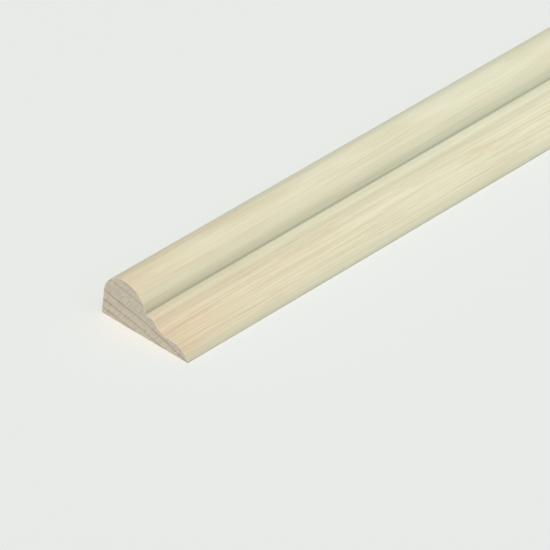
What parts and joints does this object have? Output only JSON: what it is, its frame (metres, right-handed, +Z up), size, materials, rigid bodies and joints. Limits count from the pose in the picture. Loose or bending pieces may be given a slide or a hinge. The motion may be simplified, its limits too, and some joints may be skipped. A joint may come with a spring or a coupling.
{
  "type": "ogee moulding",
  "caption": "Planed softwood ogee moulding with a half-round bead, narrow shoulder, cove and turned-down nose on a flat back, for trimming panels, edges and joints.",
  "frame": {"origin": "centre of the flat back, halfway along the length, on the surface it lies on", "axes": "+X along the length; +Y across the width towards the thick beaded edge; +Z up, out of the flat back through the moulded face"},
  "size_m": [2.4, 0.028, 0.0126],
  "materials": {
    "pine": "planed bare pine, matt"
  },
  "bodies": {
    "root": {"ogee_moulding": "pine"}
  },
  "joints": []
}
